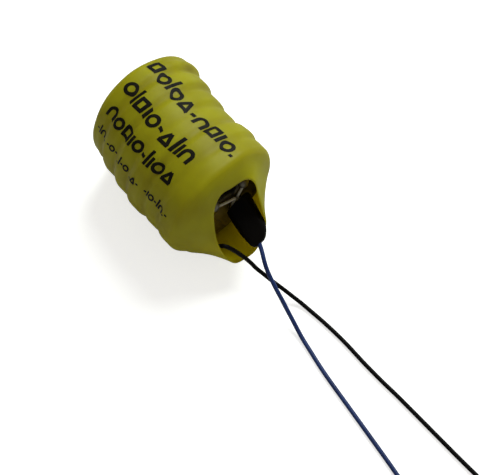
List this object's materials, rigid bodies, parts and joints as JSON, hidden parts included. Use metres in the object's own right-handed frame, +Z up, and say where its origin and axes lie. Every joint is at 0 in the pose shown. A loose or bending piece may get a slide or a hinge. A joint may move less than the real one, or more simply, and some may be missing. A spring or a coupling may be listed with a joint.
{
  "type": "capacitor pack",
  "caption": "Stack of series-wired coin supercapacitor cells in an open-mouthed yellow shrink sleeve, with a small charging circuit and two thin wire leads.",
  "frame": {"origin": "under the middle of the pack, on the surface it lies on, free wires left out", "axes": "+X from the closed end of the sleeve to its open mouth, along the row of cells; +Z up; +Y to the left when looking along +X"},
  "size_m": [0.0764, 0.0282, 0.0177],
  "materials": {
    "sleeve_pvc": "glossy shrink film, slightly see-through",
    "print_ink": "marks printed on the sleeve, seen in the visual only",
    "can_steel": "satin stainless can with contents",
    "cap_steel": "satin stainless cap",
    "gasket": "moulded seal ring",
    "tab_nickel": "dull nickel strip",
    "solder": "smooth solder",
    "tinned_copper": "tinned wire",
    "black_insulation": "smooth black insulation",
    "blue_insulation": "smooth blue insulation",
    "joint_sleeve_black": "shrunk black tubing",
    "resistor_lacquer": "lacquered body",
    "diode_glass": "tinted glass body, taken as opaque",
    "tie_white": "plain tie"
  },
  "bodies": {
    "root": {"outer_sleeve": "sleeve_pvc", "cell_can_1": "can_steel", "cell_gasket_1": "gasket", "cell_cap_1": "cap_steel", "cell_can_2": "can_steel", "cell_gasket_2": "gasket", "cell_cap_2": "cap_steel", "cell_can_3": "can_steel", "cell_gasket_3": "gasket", "cell_cap_3": "cap_steel", "cell_can_4": "can_steel", "cell_gasket_4": "gasket", "cell_cap_4": "cap_steel", "cell_can_5": "can_steel", "cell_gasket_5": "gasket", "cell_cap_5": "cap_steel", "cell_can_6": "can_steel", "cell_gasket_6": "gasket", "cell_cap_6": "cap_steel", "series_tab_1": "tab_nickel", "series_tab_2": "tab_nickel", "series_tab_3": "tab_nickel", "series_tab_4": "tab_nickel", "series_tab_5": "tab_nickel", "negative_tab": "tab_nickel", "positive_tab": "tab_nickel", "negative_solder": "solder", "black_wire_core": "tinned_copper", "black_wire_run": "black_insulation", "resistor_body": "resistor_lacquer", "resistor_lead_in": "tinned_copper", "resistor_lead_out": "tinned_copper", "resistor_solder": "solder", "diode_body": "diode_glass", "diode_lead_in": "tinned_copper", "diode_lead_out": "tinned_copper", "diode_solder": "solder", "joint_solder": "solder", "blue_wire_core": "tinned_copper", "blue_wire_tail": "blue_insulation", "joint_sleeve": "joint_sleeve_black", "black_wire": "black_insulation", "black_coil": "black_insulation", "black_coil_tie": "tie_white", "black_wire_tip": "tinned_copper", "blue_wire": "blue_insulation", "blue_coil": "blue_insulation", "blue_coil_tie": "tie_white", "blue_wire_tip": "tinned_copper"}
  },
  "joints": []
}
